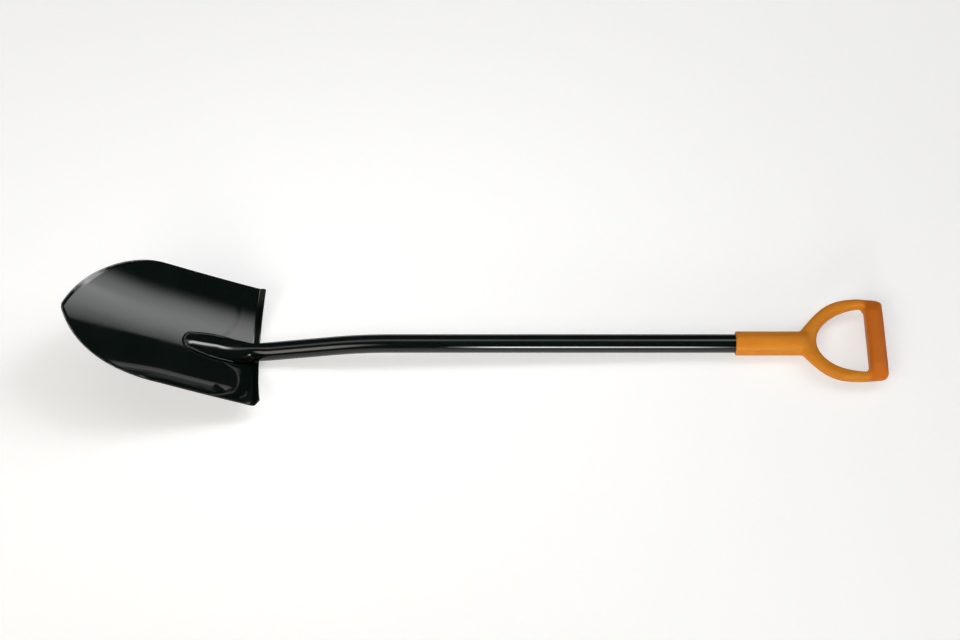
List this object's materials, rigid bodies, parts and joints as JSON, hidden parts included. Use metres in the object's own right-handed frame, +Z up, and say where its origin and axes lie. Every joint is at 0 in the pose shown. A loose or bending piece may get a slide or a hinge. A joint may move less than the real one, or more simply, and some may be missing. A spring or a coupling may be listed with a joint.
{
  "type": "round point shovel",
  "caption": "Round point shovel with a dished steel blade, a cranked tubular steel shaft welded to its face and a moulded plastic D grip.",
  "frame": {"origin": "centre of the bounding box, on the floor that the shovel lies on", "axes": "+X along the shovel from the tip towards the grip, +Y across it, +Z up, out of the blade's face. The shovel lies on its back, on the blade's heel and the end of the grip's sleeve."},
  "size_m": [1.1539, 0.1926, 0.1599],
  "materials": {
    "blade_coat": "gloss black enamel",
    "shaft_coat": "gloss black enamel",
    "weld_coat": "gloss black enamel over the weld",
    "grip_plastic": "orange, satin",
    "screw_steel": "zinc plated"
  },
  "bodies": {
    "root": {"blade": "blade_coat", "shaft_tube": "shaft_coat", "nose_weld": "weld_coat", "shoulder_welds": "weld_coat", "d_grip": "grip_plastic", "grip_screw": "screw_steel"}
  },
  "joints": []
}
